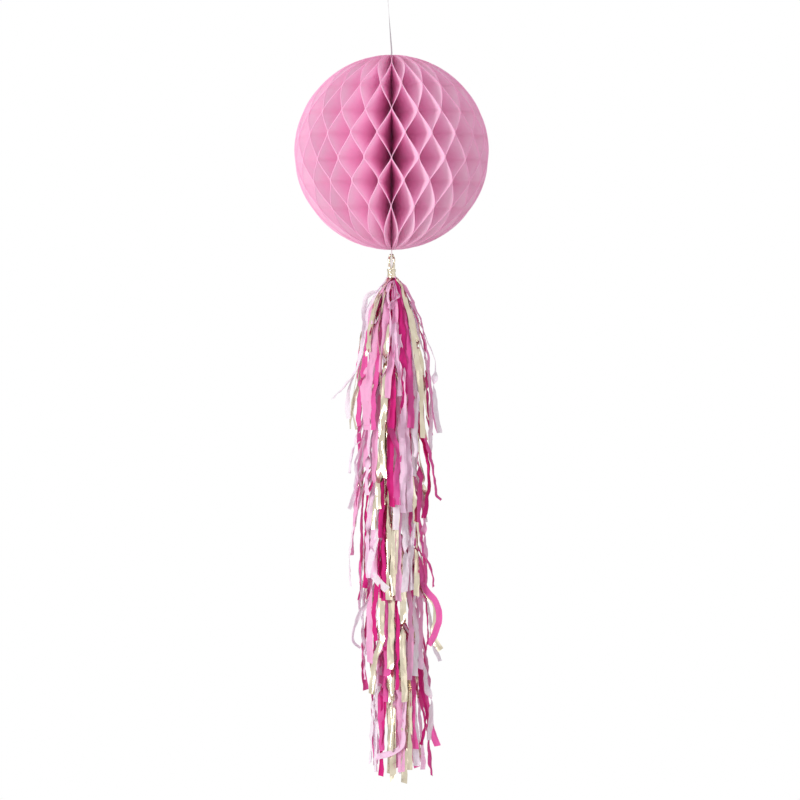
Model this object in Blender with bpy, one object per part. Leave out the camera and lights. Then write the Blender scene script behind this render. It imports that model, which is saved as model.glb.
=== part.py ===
"""Honeycomb tissue ball with a tail of tassels, hung from a ribbon loop.

The ball is a pad of half-disc tissue leaves, glued to each other along level
lines and fanned right round, so it is one solid with an open pocket for each
cell. A cord runs down its middle and on through five tassels, one under the
other. Each tassel is four fringed sheets rolled together on the cord: white,
pale pink and hot pink tissue, and a champagne foil one outside them, whose
twisted middle also makes the loop above the neck.

Metres, +Z up. The origin is where the ribbon's loop bears on its hook, and
the side that faces the viewer is -Y.
"""

import math
import random

import bmesh
import bpy
from mathutils import Vector

# Clearance between pieces that touch each other
CLEARANCE = 0.0003

# Hanging ribbon: a flat satin ribbon, drawn as a tube as thick as it is wide
RIBBON_WIDTH = 0.0028
RIBBON_DROP = 0.122  # from the hook down to the ball's crown
RIBBON_LOOP_HEIGHT = 0.027
RIBBON_LOOP_WIDTH = 0.015
RIBBON_LOOP_TURNS = (1.05, 5.36)  # radians round the drop where its ends stand
RIBBON_LOOP_STEPS = 22
RIBBON_KNOT_RADIUS = 0.0029
RIBBON_SEAT = 0.012  # how deep the ribbon goes into the ball's core
RIBBON_LEAN = 0.006  # the ball's axis stands this far to the right of the hook
KNOT_STRETCH = 1.3  # half the length of a knot in a cord, in knot radii
KNOT_PARTS = 5  # sections in half a knot

# Ball of glued tissue leaves
BALL_RADIUS = 0.150
LEAF_PAIRS = 22
LEAF_WALL = 0.0004
CROWN_TO_GLUE = 0.0135  # from the crown down to the first glue line
GLUE_PITCH = 0.0382
GLUE_LINE = 0.0016  # height of a line of glue
LEAST_OPENING = 0.3  # leaves nearer each other than this share have no pocket
CORE_CROWDING = 2.2  # leaf walls that a leaf's share of the core's rim could hold
CAP_REACH = 1.15  # radius of the solid cap at each pole, in core radii
RIM_FACET = 0.050  # longest straight stretch along a leaf's round rim

# Cord down the middle of the ball and the tail
CORD_DIAMETER = 0.0018
CORD_KNOT_RADIUS = 0.0022
CORD_BELOW_NECK = 0.016  # from the last neck down to the knot at the cord's end
CORD_PARTS = 12  # straight stretches above the knot
CORD_END = 0.0037  # free end below the knot

# Tassels: four fringed sheets on the cord, listed from the inside out
BALL_TO_TASSEL = 0.0045  # from the ball's lower pole to the first foil loop
TASSEL_PITCH = 0.1264
FOIL_LOOP_HEIGHT = 0.025
FOIL_LOOP_WIDTH = 0.0135
FOIL_LOOP_BAND = 0.0036
LOOP_PARTS = 9
NECK_HEIGHT = 0.0105
NECK_TWIST_STEPS = 2  # sides of its rolled middle that the foil is twisted by
NECK_WAIST = 0.10  # how much wider the neck's ends are than its waist
SHEET_WALL = 0.0006
SLEEVE_WALL = 0.0009
FOIL_NECK_WALL = 0.0018
STRIP_WIDTH = 0.011
STRIP_LENGTH = 0.276
SHORTEST_STRIP = 0.90  # as a share of the longest
STRIP_CORNERS = (0.02, 0.05, 0.11, 0.24, 0.45, 0.72)  # shares, before its end
LINE_PARTS = 20
STRIP_CROWDING = 0.84  # share of a strip's room that it may fill near its root
ROOT_REACH = 1.2  # widest chord of a strip there, in distances from the cord
SWING_LENGTH = 0.034  # a strip has swung to its slot this far down
SHEET_SPREAD = 0.0009  # how much further apart the sheets hang below the neck
TWIST_FROM = 0.62  # share of a strip's length above which it hangs flat
LEAST_TWIST, MOST_TWIST = math.radians(15), math.radians(60)
SWAY, SWAY_PITCH = 0.0014, 0.16

# The strips of each tassel, going round from its left by way of the front:
# w white, p pale pink and h hot pink tissue, f champagne foil
SHEETS = {"w": "white", "p": "pale_pink", "h": "hot_pink", "f": "foil"}
TASSELS = (
    "wpwphhhfwp" "hfwphwfphf",
    "hpwfhhpwhh" "fwhpfhwpfp",
    "whhpfpwhhp" "fwphfhwpfw",
    "whfhfpwwhp" "phfwhpwfhp",
    "pwwhfpfhww" "hpfhwpfhph",
)
# How each tassel spreads: how far from upright a strip stands at the shoulder,
# how far along it the shoulder is, and how far from upright it hangs below.
# Each tassel but the first hangs inside the one above.
SPREADS = (
    (math.radians(55), 0.018, math.radians(2.4)),
    (math.radians(28), 0.020, math.radians(5.9)),
    (math.radians(28), 0.020, math.radians(5.9)),
    (math.radians(28), 0.020, math.radians(5.9)),
    (math.radians(28), 0.020, math.radians(3.6)),
)
DRIFT = 0.07  # slope to the right of what hangs below the cord's end
# Strips that stand out from the rest: (tassel, strip): (start, angle, length)
OUTLIERS = {
    (0, 0): (0.158, math.radians(46), 0.212),
    (1, 9): (0.200, math.radians(24), 0.240),
    (2, 0): (0.150, math.radians(13), 0.232),
    (2, 9): (0.195, math.radians(16), 0.240),
    (3, 9): (0.175, math.radians(14), 0.225),
}

# Linear colour, roughness and metallic value of each material
FINISHES = {
    "tissue_ball": ((0.78, 0.16, 0.36), 0.85, 0.0),
    "ribbon": ((0.62, 0.55, 0.60), 0.45, 0.0),
    "cord": ((0.82, 0.76, 0.74), 0.80, 0.0),
    "white": ((0.80, 0.72, 0.79), 0.75, 0.0),
    "pale_pink": ((0.85, 0.42, 0.66), 0.80, 0.0),
    "hot_pink": ((0.72, 0.035, 0.24), 0.80, 0.0),
    "foil": ((0.66, 0.56, 0.44), 0.22, 1.0),
}

# What follows from the sizes above
leaf_count = 2 * LEAF_PAIRS
leaf_step = 2 * math.pi / leaf_count
first_turn = -(math.pi + leaf_step) / 2  # the first gap's middle faces the viewer
axis_x = RIBBON_LEAN
ball_z = -RIBBON_DROP - BALL_RADIUS
core_radius = CORE_CROWDING * LEAF_WALL / leaf_step
cap_radius = CAP_REACH * core_radius
end_radius = cap_radius + 2 * LEAF_WALL  # where the pockets stop short of a pole
bore_radius = max(RIBBON_WIDTH, CORD_DIAMETER) / 2 + CLEARANCE
first_neck_z = ball_z - BALL_RADIUS - BALL_TO_TASSEL - FOIL_LOOP_HEIGHT - NECK_HEIGHT
knot_z = first_neck_z - TASSEL_PITCH * (len(TASSELS) - 1) - CORD_BELOW_NECK
cord_end_z = knot_z - KNOT_STRETCH * CORD_KNOT_RADIUS - CORD_END
slot_count = len(TASSELS[0])
slot_step = 2 * math.pi / slot_count


def material(name):
    colour, roughness, metallic = FINISHES[name]
    made = bpy.data.materials.new(name)
    made.use_nodes = True
    shader = made.node_tree.nodes["Principled BSDF"]
    shader.inputs["Base Color"].default_value = (*colour, 1)
    shader.inputs["Roughness"].default_value = roughness
    shader.inputs["Metallic"].default_value = metallic
    return made


def add_solid(name, bm, finish):
    """Turns a closed bmesh into a named object at the origin."""
    bmesh.ops.recalc_face_normals(bm, faces=bm.faces[:])
    mesh = bpy.data.meshes.new(name)
    bm.to_mesh(mesh)
    bm.free()
    mesh.materials.append(finish)
    bpy.context.collection.objects.link(bpy.data.objects.new(name, mesh))


def add_tube(name, points, radii, finish):
    """A round cord through the points, thicker where its radius says so."""
    thin = min(radii)
    curve = bpy.data.curves.new(name, "CURVE")
    curve.dimensions = "3D"
    curve.bevel_depth = thin
    curve.bevel_resolution = 2
    curve.use_fill_caps = True
    curve.materials.append(finish)
    spline = curve.splines.new("POLY")
    spline.points.add(len(points) - 1)
    for made, place, radius in zip(spline.points, points, radii):
        made.co = (*place, 1)
        made.radius = radius / thin
    bpy.context.collection.objects.link(bpy.data.objects.new(name, curve))


def knot(knot_radius, cord_radius):
    """(distance from its middle, cord's radius) at each section of a knot."""
    sections = []
    for i in range(-KNOT_PARTS, KNOT_PARTS + 1):
        share = math.sin(math.pi / 2 * i / KNOT_PARTS)
        swell = (knot_radius - cord_radius) * math.sqrt(1 - share * share)
        sections.append((share * KNOT_STRETCH * knot_radius, cord_radius + swell))
    return sections


def glue_levels():
    """Heights of the glue lines above the ball's centre, from the top down."""
    first = BALL_RADIUS - CROWN_TO_GLUE
    count = int((first + BALL_RADIUS) / GLUE_PITCH) + 1
    return [first - GLUE_PITCH * k for k in range(count)]


def rim_heights():
    """Heights at which the leaves' rims have a corner, and their level number.

    Whole level numbers are glue lines, and the rest lie between them. The
    first and the last height are where the leaves reach the solid caps.
    """
    levels = glue_levels()
    cap = math.sqrt(BALL_RADIUS**2 - cap_radius**2)
    stops = [cap, *(z for z in levels if abs(z) < cap), -cap]
    heights = []
    for upper, lower in zip(stops, stops[1:]):
        start, end = math.acos(upper / BALL_RADIUS), math.acos(lower / BALL_RADIUS)
        parts = math.ceil((end - start) * BALL_RADIUS / RIM_FACET)
        heights += [
            BALL_RADIUS * math.cos(start + (end - start) * i / parts)
            for i in range(parts)
        ]
    heights.append(-cap)
    return [(z, (levels[0] - z) / GLUE_PITCH) for z in heights]


def opening(gap, level):
    """How far the leaves either side of a gap stand from its middle, from 0
    where they are glued to 1 where they are furthest apart."""
    return abs((level + gap + 1) % 2 - 1)


def on_ball(turn, z, radius=None):
    """A point of the ball at this turn from its first leaf and this height
    above its centre."""
    if radius is None:
        radius = math.sqrt(BALL_RADIUS**2 - z * z)
    turn += first_turn
    return Vector((axis_x + radius * math.cos(turn), radius * math.sin(turn), ball_z + z))


class Honeycomb:
    """The ball's mesh, built one gap between two leaves at a time."""

    def __init__(self):
        self.bm = bmesh.new()
        self.heights = rim_heights()
        self.last = len(self.heights) - 1
        self.first_glue = glue_levels()[0]
        self.shared = {}

    def rim_corner(self, gap, side, row):
        """The corner on the rim of the leaf at this side of a gap."""
        z, level = self.heights[row]
        turn = gap + 0.5 + side * opening(gap, level)
        key = (round(turn * 1000) % (1000 * leaf_count), row)
        if key not in self.shared:
            self.shared[key] = self.bm.verts.new(on_ball(turn * leaf_step, z))
        return self.shared[key]

    def pocket_corner(self, gap, side, row, middle, radius):
        """A corner of a pocket's wall. A leaf's whole wall lies on the side
        where its gap is wide, and where it is glued the pockets above and
        below stop short of the glue line."""
        z, level = self.heights[row]
        if row in (0, self.last):
            z = math.copysign(math.sqrt(BALL_RADIUS**2 - end_radius**2), z)
            share = opening(gap, (self.first_glue - z) / GLUE_PITCH)
        else:
            share = opening(gap, level)
            z += math.copysign(GLUE_LINE / 2, level - middle) * (1 - share)
        at = radius or math.sqrt(BALL_RADIUS**2 - z * z)
        half = share * (leaf_step - LEAF_WALL / at)
        return self.bm.verts.new(on_ball((gap + 0.5) * leaf_step + side * half, z, at))

    def pocket_ring(self, gap, rows, middle, tips, radius):
        """A pocket's corners at one depth: (right side, left side, tips)."""
        right = [self.pocket_corner(gap, 1, row, middle, radius) for row in rows]
        left = [self.pocket_corner(gap, -1, row, middle, radius) for row in rows]
        ends = [
            None if row is None else self.pocket_corner(gap, 0, row, middle, radius)
            for row in tips
        ]
        return right, left, ends

    def add_cell(self, gap, first_row, last_row):
        """The pocket between two glue lines of a gap, and the rims round it."""
        rows = [
            row
            for row in range(first_row, last_row + 1)
            if opening(gap, self.heights[row][1]) > LEAST_OPENING
        ]
        if not rows:
            self.add_closed(gap, first_row, last_row)
            return
        tips = (
            first_row if first_row > 0 else None,
            last_row if last_row < self.last else None,
        )
        if tips[0] is None:
            middle = round(self.heights[last_row][1]) - 1
        else:
            middle = round(self.heights[first_row][1]) + 1
        outer = self.pocket_ring(gap, rows, middle, tips, None)
        inner = self.pocket_ring(gap, rows, middle, tips, core_radius)
        for side, number in ((1, 0), (-1, 1)):
            self.add_wall(outer, inner, number)
            self.add_rim(gap, side, first_row, last_row, rows, outer, number)
        for end, row in ((0, first_row), (1, last_row)):
            if outer[2][end] is None:
                self.add_end(gap, row, -end, outer, inner)
        right, left, ends = inner
        top, low = ([v] if v else [] for v in ends)
        self.bm.faces.new(top + right + low + left[::-1])

    def add_wall(self, outer, inner, number):
        """One side of a pocket. Both faces of a leaf fold along the same
        diagonal, from the rim's upper corner to the core's lower one, so the
        leaf keeps its thickness."""
        lines = []
        for ring in (outer, inner):
            top, low = ([v] if v else [] for v in ring[2])
            lines.append(top + ring[number] + low)
        rim, core = lines
        for i in range(len(rim) - 1):
            self.bm.faces.new((rim[i], rim[i + 1], core[i + 1]))
            self.bm.faces.new((rim[i], core[i + 1], core[i]))

    def add_rim(self, gap, side, first_row, last_row, rows, outer, number):
        """The strip of rim between a leaf's edge and the pocket's edge."""
        wall, (top, low) = outer[number], outer[2]

        def edge(row):
            if row < rows[0]:
                return top or wall[0]
            if row > rows[-1]:
                return low or wall[-1]
            return wall[row - rows[0]]

        for row in range(first_row, last_row):
            upper, lower = (self.rim_corner(gap, side, r) for r in (row, row + 1))
            corners = list(dict.fromkeys((upper, lower, edge(row + 1), edge(row))))
            if len(corners) > 2:
                self.bm.faces.new(corners)

    def add_end(self, gap, row, place, outer, inner):
        """The end of a pocket that stops at a pole, and the rim across it."""
        right, left = outer[0][place], outer[1][place]
        a, b = (self.rim_corner(gap, side, row) for side in (1, -1))
        self.bm.faces.new((a, b, left, right))
        self.bm.faces.new((right, left, inner[1][place], inner[0][place]))

    def add_closed(self, gap, first_row, last_row):
        """Leaves that lie too close for a pocket, as at the crown."""
        down = range(first_row, last_row + 1)
        right = [self.rim_corner(gap, 1, row) for row in down]
        left = [self.rim_corner(gap, -1, row) for row in reversed(down)]
        self.bm.faces.new(list(dict.fromkeys(right + left)))

    def add_gap(self, gap):
        stops = [0]
        for row in range(1, self.last):
            level = self.heights[row][1]
            if abs(level - round(level)) < 1e-6 and round(level + gap) % 2 == 0:
                stops.append(row)
        stops.append(self.last)
        for first_row, last_row in zip(stops, stops[1:]):
            self.add_cell(gap, first_row, last_row)

    def add_bore(self):
        """The closed caps at the poles and the hole for the cord between them."""
        bores = []
        for row, way in ((0, 1), (self.last, -1)):
            rim = {self.rim_corner(g, s, row) for g in range(leaf_count) for s in (1, -1)}
            rim = sorted(rim, key=lambda v: math.atan2(v.co.y, v.co.x - axis_x))
            z = way * math.sqrt(BALL_RADIUS**2 - bore_radius**2)
            turns = [math.atan2(v.co.y, v.co.x - axis_x) - first_turn for v in rim]
            bore = [self.bm.verts.new(on_ball(turn, z, bore_radius)) for turn in turns]
            for i in range(-1, len(rim) - 1):
                self.bm.faces.new((rim[i], rim[i + 1], bore[i + 1], bore[i]))
            bores += [self.bm.edges.get((bore[i], bore[i + 1])) for i in range(-1, len(rim) - 1)]
        bmesh.ops.bridge_loops(self.bm, edges=bores)


def add_ball(finish):
    comb = Honeycomb()
    for gap in range(leaf_count):
        comb.add_gap(gap)
    comb.add_bore()
    add_solid("honeycomb_ball", comb.bm, finish)


def add_ribbon(finish):
    """Up out of the ball's core, through a knot and round the loop to it again."""
    thick = RIBBON_WIDTH / 2
    up = Vector((0, 0, 1))
    crown = Vector((axis_x, 0, -RIBBON_DROP))
    tie = up * (thick - RIBBON_LOOP_HEIGHT)
    bend = crown + up * (thick + 2 * RIBBON_WIDTH)
    below = tie - up * (KNOT_STRETCH * RIBBON_KNOT_RADIUS + thick)
    points = [crown - up * RIBBON_SEAT, crown + up * thick, bend, bend.lerp(below, 0.5), below]
    radii = [thick] * len(points)
    for along, radius in knot(RIBBON_KNOT_RADIUS, thick):
        points.append(tie + up * along)
        radii.append(radius)
    # The loop leaves the knot, goes round like a drop and comes back beside it
    start, end = RIBBON_LOOP_TURNS
    widest = 0.77  # of sin(turn) * sin(turn / 2)
    for i in range(RIBBON_LOOP_STEPS + 1):
        turn = start + (end - start) * i / RIBBON_LOOP_STEPS
        across = -RIBBON_LOOP_WIDTH / 2 * math.sin(turn) * math.sin(turn / 2) / widest
        rise = RIBBON_LOOP_HEIGHT * (1 - math.cos(turn)) / 2
        points.append(tie + Vector((across, 0, rise)))
        radii.append(thick)
    add_tube("hanging_ribbon", points, radii, finish)


def add_cord(finish):
    """From the ribbon's end in the ball's core to a knot under the last neck."""
    thick = CORD_DIAMETER / 2
    top_z = -RIBBON_DROP - RIBBON_SEAT - CLEARANCE
    heights = [top_z + (knot_z - top_z) * i / CORD_PARTS for i in range(CORD_PARTS)]
    radii = [thick] * len(heights)
    for along, radius in knot(CORD_KNOT_RADIUS, thick):
        heights.append(knot_z - along)
        radii.append(radius)
    heights.append(cord_end_z)
    radii.append(thick)
    add_tube("core_cord", [(axis_x, 0, z) for z in heights], radii, finish)


def sleeve_sizes(counts):
    """(inner, outer) radius of each sheet's rolled middle, from the inside out.

    A sleeve with n strips has 2 n flat sides, so its corners stand out past
    its flats, and the next sleeve's flats have to clear them.
    """
    sizes, reach = [], CORD_DIAMETER / 2
    for number, count in enumerate(counts):
        wall = FOIL_NECK_WALL if number == len(counts) - 1 else SLEEVE_WALL
        inner = (reach + CLEARANCE) / math.cos(math.pi / (2 * count))
        sizes.append((inner, inner + wall))
        reach = inner + wall
    return sizes


def shoulder_lean(tassel, along):
    """How far from upright a strip stands this far along it."""
    peak, reach, hang = SPREADS[tassel]
    share = along / reach
    return peak * share * math.exp(1 - share) + hang * (1 - math.exp(-share))


def strip_line(tassel, slot, length):
    """(along, out, down, lean) at each corner of a strip's middle line."""
    start, flare, length = OUTLIERS.get((tassel, slot), (length, 0.0, length))
    out, down, along, line = 0.0, 0.0, 0.0, []
    stops = [share * STRIP_LENGTH for share in STRIP_CORNERS]
    for stop in [stop for stop in stops if stop < 0.95 * length] + [length]:
        step = (stop - along) / LINE_PARTS
        for _ in range(LINE_PARTS):
            lean = shoulder_lean(tassel, along + step / 2)
            lean += flare * smooth((along - start) / STRIP_WIDTH / 2)
            out += step * math.sin(lean)
            down += step * math.cos(lean)
            along += step
        line.append((along, out, down, shoulder_lean(tassel, along)))
    return line


def smooth(share):
    share = min(1.0, max(0.0, share))
    return share * share * (3 - 2 * share)


def strip_turns(tassel, letter):
    """(root angle, slot angle, slot) of each strip of one sheet.

    The roots stand evenly round the rolled middle, and each strip swings from
    its root to its own slot in the tassel.
    """
    slots = [q for q in range(slot_count) if TASSELS[tassel][q] == letter]
    aims = [math.pi + slot_step * (q + 0.5) for q in slots]
    step = 2 * math.pi / len(slots)
    lag = sum(aim - step * i for i, aim in enumerate(aims)) / len(slots)
    return [(lag + step * i, aim, q) for i, (aim, q) in enumerate(zip(aims, slots))]


class Sheet:
    """A fringed sheet: its rolled middle, with a strip below every other side."""

    def __init__(self, tassel, letter, layer, inner, outer, first_root):
        self.bm = bmesh.new()
        self.tassel, self.layer = tassel, layer
        self.inner, self.outer = inner, outer
        self.turns = strip_turns(tassel, letter)
        self.sides = 2 * len(self.turns)
        self.side = 2 * math.pi / self.sides
        self.neck_z = first_neck_z - TASSEL_PITCH * tassel
        self.first_root = first_root
        self.root = flat_radius(inner, outer, len(self.turns))

    def ring(self, radius, z, swing=0.0):
        """The corners of the rolled middle at one height."""
        corners = []
        for i in range(self.sides):
            turn = self.turns[0][0] + self.side * (i - 0.5) + swing
            place = Vector((axis_x + radius * math.cos(turn), radius * math.sin(turn), z))
            corners.append(self.bm.verts.new(place))
        return corners

    def add_band(self, first, second, sides=None):
        """Joins two rings of corners, all round or at the sides named."""
        count = len(first)
        for i in range(count) if sides is None else sides:
            j = (i + 1) % count
            self.bm.faces.new((first[i], first[j], second[j], second[i]))

    def add_middle(self, twist=0, waist=0.0, open_tops=()):
        """The rolled middle, twisted by a whole number of its sides."""
        rows = 4 if twist else 2
        walls = []
        for row in range(rows):
            share = row / (rows - 1)
            radius = self.outer * (1 + waist * abs(2 * share - 1))
            z = self.neck_z + NECK_HEIGHT * share
            walls.append(self.ring(radius, z, share * twist * self.side))
        bores = [self.ring(self.inner, self.neck_z + z) for z in (0, NECK_HEIGHT)]
        for low, high in zip(walls, walls[1:]):
            self.add_band(low, high)
        self.add_band(*bores)
        top = walls[-1][-twist:] + walls[-1][:-twist] if twist else walls[-1]
        self.add_band(top, bores[1], [i for i in range(self.sides) if i not in open_tops])
        self.add_band(walls[0], bores[0], range(1, self.sides, 2))
        self.low = (bores[0], walls[0])
        self.high = (bores[1], top)

    def side_corners(self, rings, i):
        """One side's corners: inner left, inner right, outer right, outer left."""
        j = (i + 1) % self.sides
        inner, outer = rings
        return [inner[i], inner[j], outer[j], outer[i]]

    def add_chain(self, start, places, end=None):
        """A chain of four-cornered sections, cut square unless it has an end."""
        last = start
        for corners in places:
            made = [self.bm.verts.new(place) for place in corners]
            self.add_link(last, made)
            last = made
        if end:
            self.add_link(last, end)
        else:
            self.bm.faces.new(last)

    def add_link(self, first, second):
        """One stretch of a chain. Both of its broad faces fold along the same
        diagonal, so a twisted stretch keeps its thickness."""
        for a, b in ((0, 1), (3, 2)):
            self.bm.faces.new((first[a], first[b], second[b]))
            self.bm.faces.new((first[a], second[b], second[a]))
        self.add_band(first, second, (1, 3))

    def add_strips(self):
        for number in range(len(self.turns)):
            start = self.side_corners(self.low, 2 * number)
            self.add_chain(start, self.strip_places(number))

    def strip_places(self, number):
        """A strip's sections below its root."""
        root, aim, slot = self.turns[number]
        chance = random.Random(100 * self.tassel + slot)
        length = STRIP_LENGTH * chance.uniform(SHORTEST_STRIP, 1)
        end_twist = chance.uniform(LEAST_TWIST, MOST_TWIST) * chance.choice((-1, 1))
        sway, phase = chance.uniform(0.4, 1) * SWAY, chance.uniform(0, 2 * math.pi)
        places = []
        for along, out, down, lean in strip_line(self.tassel, slot, length):
            mixed = smooth(along / SWING_LENGTH)
            turn = root + (aim - root) * mixed
            base = self.first_root + out
            spread = min(STRIP_WIDTH, ROOT_REACH * base)
            rise = self.root - self.first_root
            rise += self.layer * spread**2 / (8 * base) * math.cos(lean)
            rise += self.layer * SHEET_SPREAD * mixed
            radius = base + rise * math.cos(lean)
            near = self.nearest(number, mixed)
            width = min(STRIP_WIDTH, STRIP_CROWDING * 2 * radius * math.sin(near / 2))
            loose = smooth((along / STRIP_LENGTH - TWIST_FROM) / (1 - TWIST_FROM))
            swayed = sway * math.sin(2 * math.pi * along / SWAY_PITCH + phase) * loose
            middle = Vector((axis_x, 0, self.neck_z - down))
            facing = section_facing(turn + swayed / radius, lean)
            middle += facing[0] * base + facing[1] * rise
            middle.x += DRIFT * max(0.0, cord_end_z - middle.z)
            places.append(section(middle, facing, width, end_twist * loose))
        return places

    def nearest(self, number, mixed):
        """The angle to the nearer neighbour in the sheet, at most a half turn."""
        count = len(self.turns)
        root, aim, _ = self.turns[number]
        angles = [math.pi]
        for other in (number - 1, number + 1):
            lap = 2 * math.pi * (other // count)
            o_root, o_aim, _ = self.turns[other % count]
            gap = (o_root + lap - root) * (1 - mixed) + (o_aim + lap - aim) * mixed
            angles.append(abs(gap))
        return min(angles)

    def add_loop(self, right, left):
        """The foil's middle drawn up into a loop, which leans behind the cord."""
        starts = self.side_corners(self.high, right)
        ends = self.side_corners(self.high, left)
        lean = (FOIL_LOOP_BAND + CORD_DIAMETER) / 2 + 2 * CLEARANCE
        low = self.neck_z + NECK_HEIGHT
        first, last = (sum((v.co for v in four), Vector()) / 4 for four in (starts, ends))
        across = (first - last) / 2
        half = across.length
        across.normalize()
        back = Vector((0, 0, 1)).cross(across)
        places = []
        for i in range(1, LOOP_PARTS):
            turn = math.pi * i / LOOP_PARTS
            rise = math.sin(turn)
            wide = half + (FOIL_LOOP_WIDTH / 2 - half) * rise
            middle = (first + last) / 2 + across * wide * math.cos(turn) + back * lean * rise
            middle.z = low + FOIL_LOOP_HEIGHT * rise
            inward = -across * math.cos(turn) - Vector((0, 0, 1)) * rise
            wall, band = inward * SLEEVE_WALL / 2, back * FOIL_LOOP_BAND / 2
            places.append(
                [middle + wall - band, middle + wall + band, middle - wall + band, middle - wall - band]
            )
        self.add_chain(starts, places, [ends[1], ends[0], ends[3], ends[2]])

    def side_facing(self, turn):
        """The number of the side of the rolled middle that faces this way."""
        return round((turn - self.turns[0][0]) / self.side) % self.sides


def flat_radius(inner, outer, count):
    """From the cord's middle to the middle of a flat side's wall."""
    return (inner + outer) / 2 * math.cos(math.pi / (2 * count))


def section_facing(turn, lean):
    """Level outwards, square out of a strip's face, and across the strip."""
    out = Vector((math.cos(turn), math.sin(turn), 0))
    across = Vector((-math.sin(turn), math.cos(turn), 0))
    return out, out * math.cos(lean) + Vector((0, 0, math.sin(lean))), across


def section(middle, facing, width, twist):
    """A strip's section: inner left, inner right, outer right, outer left."""
    _, square, across = facing
    half = (across * math.cos(twist) + square * math.sin(twist)) * width / 2
    wall = (square * math.cos(twist) - across * math.sin(twist)) * SHEET_WALL / 2
    return [middle - half - wall, middle + half - wall, middle + half + wall, middle - half + wall]


def add_tassel(tassel, finishes):
    counts = [TASSELS[tassel].count(letter) for letter in SHEETS]
    sizes = sleeve_sizes(counts)
    first_root = flat_radius(*sizes[0], counts[0])
    for layer, (letter, name) in enumerate(SHEETS.items()):
        sheet = Sheet(tassel, letter, layer, *sizes[layer], first_root)
        if name == "foil":
            sides = sheet.side_facing(0), sheet.side_facing(math.pi)
            sheet.add_middle(NECK_TWIST_STEPS, NECK_WAIST, sides)
            sheet.add_loop(*sides)
        else:
            sheet.add_middle()
        sheet.add_strips()
        add_solid(f"tassel_{tassel + 1}_{name}", sheet.bm, finishes[name])


def main():
    for old in list(bpy.data.objects):
        bpy.data.objects.remove(old)
    finishes = {name: material(name) for name in FINISHES}
    add_ball(finishes["tissue_ball"])
    add_ribbon(finishes["ribbon"])
    add_cord(finishes["cord"])
    for tassel in range(len(TASSELS)):
        add_tassel(tassel, finishes)


main()
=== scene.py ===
"""Looks of the honeycomb ball and its tail: tissue, foil, ribbon and cord."""

import math
import random

import bpy
import numpy as np
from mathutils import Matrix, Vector


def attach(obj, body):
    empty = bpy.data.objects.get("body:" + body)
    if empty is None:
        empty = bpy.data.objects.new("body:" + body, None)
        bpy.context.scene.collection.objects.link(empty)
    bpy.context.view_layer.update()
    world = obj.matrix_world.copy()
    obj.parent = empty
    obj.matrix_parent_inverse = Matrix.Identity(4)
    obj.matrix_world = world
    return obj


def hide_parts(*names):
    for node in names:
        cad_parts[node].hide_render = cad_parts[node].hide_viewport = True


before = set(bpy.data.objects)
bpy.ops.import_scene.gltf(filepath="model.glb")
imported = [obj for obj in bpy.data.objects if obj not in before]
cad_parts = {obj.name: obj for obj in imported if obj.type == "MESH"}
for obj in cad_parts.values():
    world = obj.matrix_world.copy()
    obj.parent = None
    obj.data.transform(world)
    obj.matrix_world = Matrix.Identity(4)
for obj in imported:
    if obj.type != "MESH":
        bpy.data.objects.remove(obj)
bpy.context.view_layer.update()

# Photograph: a pixel of it at the object, and what its centre looks at
PIXEL = 0.001542
VIEW_CENTRE = Vector((0.019, 0, -0.6536))
VIEW_DISTANCE = 6.0
FRAME_PIXELS = 800
SENSOR = 36.0

# Sizes of the part's source, in metres
AXIS = 0.006
RIBBON_WIDTH = 0.0028
RIBBON_DROP = 0.122
RIBBON_SEAT = 0.012
RIBBON_LOOP_HEIGHT = 0.027
RIBBON_LOOP_WIDTH = 0.015
RIBBON_KNOT_RADIUS = 0.0029
BALL_RADIUS = 0.150
BALL_Z = -RIBBON_DROP - BALL_RADIUS
LEAVES = 44
CORD_DIAMETER = 0.0018
CORD_KNOT_RADIUS = 0.0022
NECK_Z = -0.462
NECK_HEIGHT = 0.0105
NECK_RADII = (0.0018, 0.0030, 0.0045, 0.0060)
ROOT_RADIUS = 0.0024
LAYER_STEP = 0.0012
TASSEL_PITCH = 0.1264
CORD_KNOT_Z = NECK_Z - 4 * TASSEL_PITCH - 0.016
CORD_END_Z = CORD_KNOT_Z - 1.3 * CORD_KNOT_RADIUS - 0.0037
STRIP_WIDTH = 0.011
STRIP_LENGTH = 0.276
DRIFT = 0.07
SPREADS = (
    (math.radians(37), 0.027, math.radians(2.4)),
    (math.radians(28), 0.020, math.radians(5.9)),
    (math.radians(28), 0.020, math.radians(5.9)),
    (math.radians(28), 0.020, math.radians(5.9)),
    (math.radians(28), 0.020, math.radians(3.6)),
)
TASSELS = (
    "wpwphhhfwp" "hfwphwfphf",
    "hpwfhhpwhh" "fwhpfhwpfp",
    "whhpfpwhhp" "fwphfhwpfw",
    "whfhfpwwhp" "phfwhpwfhp",
    "pwwhfpfhww" "hpfhwpfhph",
)
SHEETS = {"w": "white", "p": "pale_pink", "h": "hot_pink", "f": "foil"}
SLOTS = {"w": "white_tissue", "p": "pale_pink_tissue", "h": "hot_pink_tissue", "f": "champagne_foil"}


def deselect():
    bpy.ops.object.select_all(action="DESELECT")


def smooth(share):
    share = np.clip(share, 0.0, 1.0)
    return share * share * (3 - 2 * share)


# Camera, lamps and background


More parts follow.
